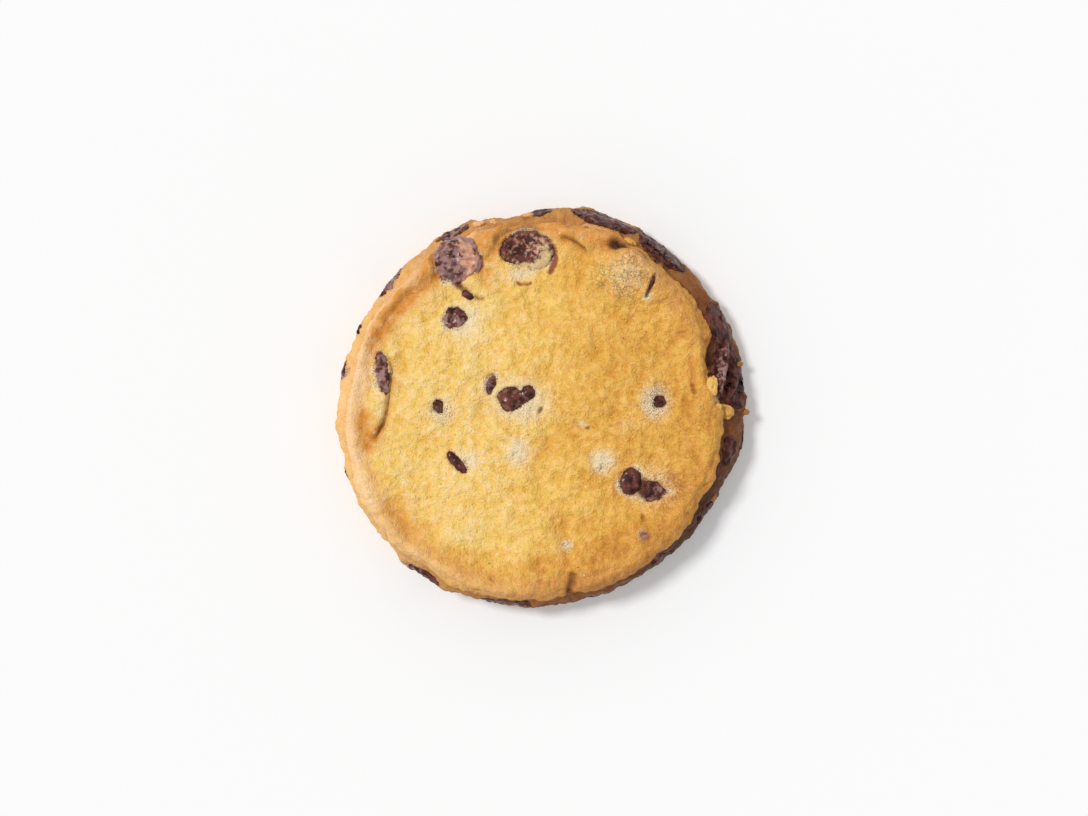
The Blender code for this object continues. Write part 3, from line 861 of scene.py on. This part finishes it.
# The rim and the valley inside it: how far in from the edge, half width, rise or depth
RIM_CREST, RIM_CREST_WIDTH, RIM_CREST_RISE = 2.0, 0.85, 0.65
RIM_VALLEY, RIM_VALLEY_WIDTH, RIM_VALLEY_DEPTH = 4.4, 1.0, 0.4
RIM_STRONGEST = 150.0  # the azimuth where rim and valley are at their full height

# The rim is drawn in over the chips that show in the wall from above
WALL_CHIPS_SEEN = [f"chip_wall_{number:02d}" for number in (1, 3, 4, 6, 7, 9, 11, 12, 15, 16)]
NOTCH_DEPTH = 0.9


def top_share(points, facing):
    """1 on the top face, fading out where it turns down and below the rim."""
    return smooth((facing[:, 2] - 0.25) / 0.45) * smooth((points[:, 2] - 9.5) / 1.5)


def inset_from_edge(points):
    """How far a point lies inside the edge of the top face."""
    x, y = points[:, 0], points[:, 1]
    return at_azimuth(np.arctan2(y, x), EDGE_RADII) - np.hypot(x, y)


CRUST_EDGE = 10.9  # the level at which the top crust ends
CRUST_SAG = 1.3  # how much lower it hangs at the right, beside the big chip
CRUST_SAGS = ((29.0, 9.0, 1.0), (-42.0, 20.0, 0.6))  # where: azimuth, width, share
LEFT_SIDE = (178.0, 34.0)  # azimuth and width
LEFT_SETBACK = 1.1  # at the left the crust ends in from the wall
RIGHT_BULGE, BULGE_RISE = (26.0, 9.0), 0.35  # the wall bulges beside the big chip
OVERHANG = 0.55


def crust_level(points):
    """The level at which the top crust ends and the wall begins."""
    flat = points * (1.0, 1.0, 0.0)
    azimuth = azimuth_of(points)
    sag = CRUST_SAG * sum(share * beside(azimuth, centre, width) for centre, width, share in CRUST_SAGS)
    return CRUST_EDGE - sag + 0.30 * rough(flat, 7.0, 22) + 0.12 * rough(flat, 2.0, 23)


def notched(points, inset, height):
    """The height, with the rim drawn in over the chips in the wall."""
    x, y, level = points.T
    for name in WALL_CHIPS_SEEN:
        low, high = box_of(name)
        middle, half = 0.5 * (low + high), 0.5 * np.hypot(*(high - low)[:2])
        across = np.hypot(x - middle[0] * 1.03, y - middle[1] * 1.03) / (0.8 * half)
        drawn = bell(across) * smooth((level - high[2] + 1.5) / 2.0) * smooth((2.4 - inset) / 1.4)
        height = height - NOTCH_DEPTH * drawn
    return height


def worked_top(points, top, height, crevice, bake):
    """Adds the strokes and spots of the top to the height, the crevice marks of painted shade and the bake marks.
    """
    for line, width, depth, lift, dark, brown in TOP_STROKES:
        away, along, bank = line_distance(points, line)
        wander = away + 0.25 * width * rough(points, 1.2, 8)
        taper = smooth(along / 0.22) * smooth((1.0 - along) / 0.22)
        lifted = bank * np.sign(lift + 1e-9) > 0
        height = height - depth * (top * taper * bell(wander / width))
        height = height + abs(lift) * top * taper * lifted * smooth((2.6 - away) / 2.6)
        crevice = np.maximum(crevice, dark * top * taper * bell(wander / (0.8 * width)))
        bake = bake + brown * top * taper * bell(wander / (2.0 * width))
    for *oval, rise, dark, brown in TOP_SPOTS:
        mark = top * spot(points, *oval)
        height = height + rise * mark
        crevice = np.maximum(crevice, dark * smooth((mark - 0.25) / 0.5))
        bake = bake + brown * mark
    return height, crevice, bake


def baked_relief(points, facing):
    """Height that baking adds along the normal, and the crevice marks (painted shade) and bake marks that go with
    it.
    """
    x, y, level = points.T
    azimuth = azimuth_of(points)
    inset = inset_from_edge(points)
    at_left = around(azimuth, *LEFT_SIDE)
    top = top_share(points, facing)
    under = smooth((-facing[:, 2] - 0.3) / 0.4)
    side = np.clip(1.0 - top - under, 0.0, 1.0)
    # Lumps of every size, all over
    height = 0.40 * rough(points, 8.0, 1) + 0.26 * rough(points, 3.4, 2)
    height += 0.22 * np.abs(rough(points, 2.4, 20)) + 0.16 * rough(points, 1.3, 3) + 0.08 * rough(points, 0.7, 4)
    height = notched(points, inset, height)
    height -= LEFT_SETBACK * at_left * smooth((level - 8.6) / 1.6) * smooth((2.6 - inset) / 1.6)
    height += BULGE_RISE * side * beside(azimuth, *RIGHT_BULGE) * smooth((level - 8.0) / 2.0)
    # The rim and the browner valley inside it, its browning partly painted shade on the valley's inner slope
    folded = 0.55 + 0.45 * np.cos(np.arctan2(y, x) - math.radians(RIM_STRONGEST)) + 0.35 * rough(points, 9.0, 17)
    folded = np.clip(folded, 0.0, 1.2) * top
    in_valley = bell((inset - RIM_VALLEY - rough(points, 5.0, 18)) / RIM_VALLEY_WIDTH)
    height += RIM_CREST_RISE * folded * bell((inset - RIM_CREST) / RIM_CREST_WIDTH)
    height -= RIM_VALLEY_DEPTH * folded * in_valley
    bake = 0.12 * folded * in_valley
    # The wall is lumpier, and pores are open everywhere, with painted shade in them
    height += side * (0.28 * rough(points, 3.6, 5, 2) + 0.14 * np.abs(rough(points, 1.3, 6)))
    pores = smooth((rough(points, 1.0, 7) - 0.62) / 0.3)
    height -= 0.12 * pores
    height, crevice, bake = worked_top(points, top, height, 0.05 * pores * top, bake)
    # The crust ends in a crisp edge that overhangs the wall, most of all at the right, with a painted shadow line
    # under the edge and a browner line at the left
    edge = crust_level(points)
    overhang = (OVERHANG - 0.3 * at_left + 0.45 * beside(azimuth, 5.0, 70.0)) * (0.8 + 0.4 * rough(points, 5.0, 9))
    height -= 0.6 * overhang * smooth((edge - level) / 0.4) * smooth((level - 7.0) / 3.0)
    line = bell((level - edge + 0.4) / 0.28) * (0.35 + 0.65 * smooth((overhang - 0.6) / 0.3))
    crevice = np.maximum(crevice, 0.75 * overhang * line)
    bake = bake + 0.25 * at_left * bell((level - edge + 0.2) / 0.3)
    height = np.where(under > 0.5, -0.5 * np.abs(height), height)
    return height, np.clip(crevice, 0.0, 1.0), bake, top, under


LIP_SHARE, LIP_REACH = 0.6, 1.3  # the lip of dough around a proud chip: its height as a share, its width
BARE_AT_RIGHT = 0.45  # the chips in the wall at the right are the barest


def expose_chips(points, facing, chip_forms):
    """Moves the skin off and onto the chips: how far it moves, and how near it lies to a chip."""
    offset, near = np.zeros(len(points)), np.full(len(points), 9.0)
    steep = smooth((0.6 - facing[:, 2]) / 0.4)
    # How thick the dough lies over the chips; they are bare where it is thinner than nothing
    film = 0.03 + 0.08 * rough(points, 1.0, 11, 2) + 0.05 * rough(points, 0.5, 24)
    film = film + 0.14 * rough(points, 2.0, 26)
    film = film - BARE_AT_RIGHT * steep * beside(azimuth_of(points), 30.0, 35.0)
    film = film + steep * (0.22 * rough(points, 2.2, 16, 2) - 0.08)
    for *oval, thick in TOP_SMEARS:
        film = film + thick * spot(points, *oval) * (facing[:, 2] > 0.3)
    for tree, low, high in chip_forms:
        close = np.flatnonzero(((points > low - 3.0) & (points < high + 3.0)).all(axis=1))
        heights, gaps = np.full(len(close), -9.0), np.full(len(close), 9.0)
        for number, i in enumerate(close.tolist()):
            place, out = Vector(points[i]), Vector(facing[i])
            gaps[number] = tree.find_nearest(place)[3]
            hit = tree.ray_cast(place + out * 4.0, -out, 9.0)
            if hit[0] is not None and hit[1].dot(out) > 0.0:
                heights[number] = 4.0 - hit[3]
        near[close] = np.minimum(near[close], gaps)
        over = heights > -1.0
        if not over.any():
            continue
        # The dough swells up around a chip that stands proud
        proud = max(0.0, float(np.percentile(heights[over], 85)))
        swell = LIP_SHARE * proud * bell(np.where(over, 0.0, gaps) / LIP_REACH) * steep[close]
        bare = film[close] - (heights - swell)
        moved = swell + np.where(bare < 0.5, np.maximum(film[close], 0.0) * smooth(1.0 - 2.0 * bare), 0.0)
        moved = np.where(bare < 0.0, heights + np.maximum(2.5 * bare, -0.4), moved)
        stronger = np.abs(moved) > np.abs(offset[close])
        offset[close] = np.where(stronger, moved, offset[close])
    return offset, near


# Stretches of the rim and wall that are coloured apart: azimuth and width
UPPER_RIM = (80.0, 42.0)
UPPER_LEFT = (115.0, 28.0)
WHOLE_LEFT = (165.0, 60.0)
UPPER_WALL = (90.0, 24.0)
# Painted shade on the wall that is turned away from the light
LEE, LEE_RIGHT = (-38.0, 26.0), (11.0, 15.0)  # the wall that is turned away from the light
SWELL = (15.0, 24.6, 5.2, 4.6, 20)  # the oval over the hidden chip


def chip_marks(points, top, near):
    """Halos, dirt and chocolate stains that the chips leave on the dough."""
    halo, dirt = np.zeros(len(points)), np.zeros(len(points))
    for *oval, pale, dark in HALOS:
        mark = top * spot(points, *oval)
        halo = np.maximum(halo, pale * mark)
        dirt = np.maximum(dirt, dark * mark)
    uneven = np.clip(0.35 + 0.9 * rough(points, 2.6, 25), 0.0, 1.0)
    halo = np.maximum(halo, 0.9 * uneven * smooth((1.6 - near) / 1.3) * top)
    dirt = np.maximum(dirt, (0.30 + 0.6 * uneven) * smooth((1.1 - near) / 1.0))
    stain = 0.25 * smooth((0.6 - near) / 0.5)
    for *oval, strength in STAINS:
        stain = np.maximum(stain, strength * top * spot(points, *oval))
    for line, width, strength in STAIN_STROKES:
        away, along, _ = line_distance(points, line)
        fade = smooth(along / 0.2) * smooth((1.0 - along) / 0.2)
        wander = away + 0.3 * width * rough(points, 0.9, 29)
        stain = np.maximum(stain, strength * top * fade * bell(wander / width))
    return {"halo": halo, "dirt": dirt, "stain": stain}


def paint_skin(points, facing, crevice, bake, top, under, near, neighbours):
    """The colour fields of the dough, painted light and shade among them."""
    x, level = points[:, 0], points[:, 2]
    azimuth = azimuth_of(points)
    # Painted shade in the recesses: valleys and hollows are coloured browner and crests paler
    hollow_shade = ((neighbour_mean(points, neighbours) - points) * facing).sum(axis=1)
    hollow_shade = relaxed(hollow_shade, neighbours, 3, 1.0)
    valley_shade = ((relaxed(points, neighbours, 30, 1.0) - points) * facing).sum(axis=1)
    # The top is browner to the right; the wall is browner still, and the underside the most
    base = 0.14 + 0.28 * smooth((x + 14.0) / 30.0)
    # How far a point is turned to the lamp's side; the wall's painted light and shade follow it
    left = 0.5 - 0.5 * np.cos(np.radians(azimuth + 25.0))
    wall = smooth((crust_level(points) + 0.5 * left - level) / (0.35 + 0.8 * left))
    base = base + (0.50 + 0.08 * rough(points, 6.0, 12) - base) * wall
    base = base * (1 - under) + under * (0.66 + 0.12 * rough(points, 9.0, 13, 2))
    # The painted shade of valleys and hollows goes into the bake colour
    base = base + 0.35 * np.clip(valley_shade, -0.15, 0.25) + 1.2 * np.clip(hollow_shade, -0.02, 0.02)
    inset = inset_from_edge(points)
    ridge = smooth((5.2 - inset + 1.2 * rough(points, 4.0, 21)) / 3.4)
    whole_left, upper_left = around(azimuth, *WHOLE_LEFT), around(azimuth, *UPPER_LEFT)
    upper_wall = around(azimuth, *UPPER_WALL)
    # The rim is peach at the left, partly painted light where it faces the lamp, amber at the upper side and
    # browned at the near and far sides
    amber = bake * (1.0 - wall)
    upper = around(azimuth, *UPPER_RIM) + 0.8 * upper_left
    amber = amber + 0.15 * ridge * upper * (0.7 + 0.6 * rough(points, 2.5, 27))
    # Its last term is painted warm bounce light on the shaded slope of the valley inside the left rim
    amber = amber + 0.08 * ridge * beside(azimuth, -55.0, 45.0) + 0.10 * whole_left * bell((inset - 4.3) / 0.7)
    wall = wall * (1.0 - under)
    # The crest at the left and the wall on the lamp side are peach: partly painted light
    crest = bell((inset - 2.3) / 1.7) * whole_left
    peach = wall * left * (0.85 + 0.3 * rough(points, 5.0, 14))
    peach = peach + (0.9 * crest + 0.3 * ridge * upper_left) * (1.0 - wall)
    peach = peach * (1.0 - 0.5 * wall * upper_wall)
    brown_rim = 0.08 - 0.16 * whole_left + 0.23 * beside(azimuth, -95.0, 42.0) + 0.18 * beside(azimuth, 75.0, 35.0)
    base = base + brown_rim * ridge * (1.0 - wall) - 0.20 * crest
    # A wider browned ring inside the near rim
    ring = smooth((9.8 - inset + 1.6 * rough(points, 5.0, 30)) / 3.4) * (1.0 - wall)
    inner = smooth((inset - 1.6) / 2.6)
    base = base + ring * (0.22 * beside(azimuth, -112.0, 30.0) + 0.13 * inner * beside(azimuth, -36.0, 32.0))
    # Painted shade: the wall is dark at the right, where it is turned from the lamp, and darkest where no light
    # falls on it; it is also darker at the far side
    shade = wall * smooth(1.3 - 1.5 * left) * (0.9 + 0.25 * rough(points, 4.0, 15))
    shade = np.maximum(shade, 0.5 * wall * upper_wall * (1.0 + 0.4 * rough(points, 3.0, 28)))
    lee = beside(azimuth, *LEE) * wall
    lee = np.maximum(lee, beside(azimuth, *LEE_RIGHT) * wall * smooth((level - 4.5) / 2.5))
    fields = {
        # The lee's painted shade also browns the bake
        "bake": base + 0.30 * lee,
        "amber": 2.0 * amber,
        "crackle": 0.5 * top * smooth(2.0 * spot(points, *SWELL) - 0.3),
        "peach": 0.85 * peach * (1.0 - 0.35 * wall),
        "shade": np.maximum(shade, lee),
        "lee": 0.95 * lee,
        **chip_marks(points, top, near),
        "crevice": crevice,
    }
    return {key: np.clip(values, 0.0, 1.0) for key, values in fields.items()}


PROUD_LIMIT, PROUD_KEPT = 0.15, 0.35  # free height of a chip in the wall, and the share kept above it


def press_in(points, skin_tree):
    """A chip in the wall stands only a little above the dough: what stands higher is pressed in."""
    for i, point in enumerate(points.tolist()):
        nearest, outward, _, _ = skin_tree.find_nearest(point)
        proud = (Vector(point) - nearest).dot(outward)
        if proud > PROUD_LIMIT:
            points[i] -= np.array(outward) * (proud - PROUD_LIMIT) * (1.0 - PROUD_KEPT)
    return points


def make_chips(skin_tree):
    """Every chip in its place; returns a ray tree and box for each."""
    creased = chocolate_finish(*CREASED)
    plain = chocolate_finish(*PLAIN)
    forms = []
    for name in CHIPS:
        points, quads = melted_drop(name)
        if name.startswith("chip_wall"):
            points = press_in(points, skin_tree)
        points, faces = worked_chip(name, points, quads), quads.tolist()
        finish = creased if name.startswith("chip_top") else plain
        fields = chip_fields(name, points)
        new_piece(name.replace("chip", "melted"), points, faces, fields, finish, [name])
        forms.append((BVHTree.FromPolygons(points.tolist(), faces), points.min(axis=0), points.max(axis=0)))
    return forms


def make_skin_and_chips(finish):
    """The dough and its chips, which are shaped by each other; returns a ray tree of the dough."""
    points, quads, threes, neighbours = sampled_skin()
    facing = vertex_normals(points, np.vstack((quad_halves(quads), threes)))
    height, crevice, bake, top, under = baked_relief(points, facing)
    faces = quads.tolist() + threes.tolist()
    points = points + facing * height[:, None]
    chip_forms = make_chips(BVHTree.FromPolygons(points.tolist(), faces))
    offset, near = expose_chips(points, facing, chip_forms)
    fields = paint_skin(points, facing, crevice, bake, top, under, near, neighbours)
    points = points + facing * offset[:, None]
    points[:, 2] = np.maximum(points[:, 2], 0.0)
    new_piece("baked_skin", points, faces, fields, finish, ["dough"])
    return BVHTree.FromPolygons(points.tolist(), faces)


# Crumbs and nubs baked onto the wall: azimuth, level, half length, half height, how far out, bake
CRUMBS = (
    (109.8, 8.0, 1.3, 1.1, 0.5, 0.5),
    (105.5, 7.2, 0.9, 0.9, 0.4, 0.5),
    (94.6, 6.6, 1.2, 0.8, 0.3, 0.6),
    (12.3, 4.6, 0.6, 0.6, 1.0, 0.5),
    (-1.4, 5.2, 0.6, 0.6, 0.6, 0.6),
    (62.6, 9.6, 1.3, 0.9, 0.4, 0.4),
    (214.0, 3.2, 0.8, 0.6, 0.3, 0.5),
    (172.0, 2.6, 0.7, 0.5, 0.3, 0.5),
    (304.0, 4.6, 0.9, 0.7, 0.3, 0.6),
    (332.0, 6.2, 0.8, 0.7, 0.3, 0.6),
)

# Lumps of dough squeezed up beside the big chip at the right: x, y, half length, width and height, turn, bake
LUMPS = (
    (31.5, 3.9, 1.0, 1.9, 0.6, -5, 0.34),
    (34.0, -0.8, 1.6, 1.3, 0.7, -20, 0.46),
    (32.8, 0.1, 0.7, 0.6, 0.5, 0, 0.40),
)
# Crumbs on the wall turned from the lamp carry its painted shade
SHADED_CRUMB = 0.65  # how dark the crumbs on the shaded wall are
FIRST_CRUMB_SEED = 300


def rough_ball(form, seed, finer, octaves, roughness):
    """A lumpy ball of radius 1 in the form; returns its vertices."""
    made = bmesh.ops.create_icosphere(form, subdivisions=4, radius=1.0)["verts"]
    lumps = rough(np.array([v.co for v in made]) * finer, 1.0, seed, octaves)
    for vertex, lump in zip(made, lumps):
        vertex.co = vertex.co * (1.0 + roughness * lump)
    return made


def make_crumbs(skin_tree, finish):
    """The crumbs, joined in one piece."""
    form = bmesh.new()
    fields = {"bake": [], "shade": [], "peach": []}

    def paint(made, bake, shade, peach):
        for key, value in (("bake", bake), ("shade", shade), ("peach", peach)):
            fields[key] += [value] * len(made)

    for number, (azimuth, level, length, tall, out, bake) in enumerate(CRUMBS):
        away = Vector((math.cos(math.radians(azimuth)), math.sin(math.radians(azimuth)), 0.0))
        hit = skin_tree.ray_cast(away * FAR + Vector((0, 0, level)), -away)[0]
        along = Vector((-away.y, away.x, 0.0))
        centre = hit - away * 0.15
        made = rough_ball(form, FIRST_CRUMB_SEED + number, 0.9, 2, 0.28)
        for vertex in made:
            p = vertex.co.copy()
            vertex.co = centre + along * (p.x * length) + away * (p.y * (out + 0.3)) + Vector((0, 0, p.z * tall))
        # Crumbs turned from the lamp get painted shade, those on the lamp side peach, partly painted light
        shaded, at_left = abs(azimuth) < 60 or azimuth > 300, 90 < azimuth < 250
        paint(made, bake, SHADED_CRUMB if shaded else 0.0, 0.5 if at_left else 0.1)
    for number, (x, y, length, width, tall, turn, bake) in enumerate(LUMPS, len(CRUMBS)):
        hit = skin_tree.ray_cast(Vector((x, y, FAR)), Vector((0.0, 0.0, -1.0)))[0]
        c, s = math.cos(math.radians(turn)), math.sin(math.radians(turn))
        made = rough_ball(form, FIRST_CRUMB_SEED + number, 1.4, 3, 0.35)
        for vertex in made:
            px, py, pz = vertex.co.x * length, vertex.co.y * width, vertex.co.z * tall
            vertex.co = hit + Vector((px * c - py * s, px * s + py * c, pz + 0.1))
        paint(made, bake, 0.0, 0.15)
    form.verts.index_update()
    points = np.array([vertex.co for vertex in form.verts])
    faces = [[vertex.index for vertex in face.verts] for face in form.faces]
    form.free()
    new_piece("edge_crumbs", points, faces, {k: np.array(v) for k, v in fields.items()}, finish)


# ---------------------------------------------------------------- stage, light and camera

FLOOR_WHITE = 0.76
FLOOR_GLOW = 0.155  # the floor is a light table, faintly lit from below
FLOOR_REACH = 4.0
SKY_LIGHT = 0.54
SKY_SEEN = 0.97  # the sky is lighter to the camera than to the cookie
# A soft lamp from the far left: azimuth, elevation, width of the lamp as seen, power
LAMP_AZIMUTH, LAMP_ELEVATION, LAMP_WIDTH, LAMP_POWER = 154.0, 59.0, 13.0, 1.95
CAMERA_HEIGHT = 0.579
LENS = 100.0


def set_stage():
    mesh = bpy.data.meshes.new("floor")
    corners = [(FLOOR_REACH * x, FLOOR_REACH * y, 0) for x, y in ((-1, -1), (1, -1), (1, 1), (-1, 1))]
    mesh.from_pydata(corners, [], [(0, 1, 2, 3)])
    floor = bpy.data.objects.new("floor", mesh)
    floor.location.z = cad_low.z - 0.02 * MM
    bpy.context.scene.collection.objects.link(floor)
    white = bpy.data.materials.new("floor_white")
    white.use_nodes = True
    shader = white.node_tree.nodes["Principled BSDF"]
    shader.inputs["Base Color"].default_value = (FLOOR_WHITE, FLOOR_WHITE, FLOOR_WHITE, 1.0)
    shader.inputs["Roughness"].default_value = 0.9
    shader.inputs["Specular IOR Level"].default_value = 0.0
    shader.inputs["Emission Color"].default_value = (1.0, 1.0, 1.0, 1.0)
    shader.inputs["Emission Strength"].default_value = FLOOR_GLOW
    white.cycles.emission_sampling = "NONE"
    mesh.materials.append(white)


def set_light():
    scene = bpy.context.scene
    scene.world = bpy.data.worlds.new("studio")
    scene.world.use_nodes = True
    tree = scene.world.node_tree
    tree.nodes.clear()
    output = tree.nodes.new("ShaderNodeOutputWorld")
    switch = tree.nodes.new("ShaderNodeMixShader")
    path = tree.nodes.new("ShaderNodeLightPath")
    for number, level in ((1, SKY_LIGHT), (2, SKY_SEEN)):
        sky = tree.nodes.new("ShaderNodeBackground")
        sky.inputs["Color"].default_value = (level, level, level, 1.0)
        tree.links.new(sky.outputs[0], switch.inputs[number])
    tree.links.new(path.outputs["Is Camera Ray"], switch.inputs["Fac"])
    tree.links.new(switch.outputs[0], output.inputs["Surface"])
    sun = bpy.data.lights.new("key", "SUN")
    sun.energy = LAMP_POWER
    sun.angle = math.radians(LAMP_WIDTH)
    lamp = bpy.data.objects.new("key", sun)
    scene.collection.objects.link(lamp)
    lamp.rotation_euler = (0.0, math.radians(90.0 - LAMP_ELEVATION), math.radians(LAMP_AZIMUTH))
    scene.view_settings.view_transform = "Standard"
    scene.view_settings.look = "None"


def set_camera():
    lens = bpy.data.cameras.new("camera")
    lens.lens = LENS
    lens.sensor_width = 36.0
    lens.clip_start = 0.05
    camera = bpy.data.objects.new("camera", lens)
    camera.location = (0.0, -0.0002, CAMERA_HEIGHT)
    bpy.context.scene.collection.objects.link(camera)
    bpy.context.scene.camera = camera


AZIMUTHS = np.radians(-45.0 + 360.0 * np.arange(COLUMNS) / COLUMNS)  # of the skin's columns
DOUGH_TREE = tree_of([NODES["dough"]])
CAD_CHIP_TREE = tree_of([NODES[name] for name in CHIPS])

EDGE_RADII = wall_radius(RIM_LEVEL)

dough_material = dough_finish()
skin = make_skin_and_chips(dough_material)
make_crumbs(skin, dough_material)
set_stage()
set_light()
set_camera()
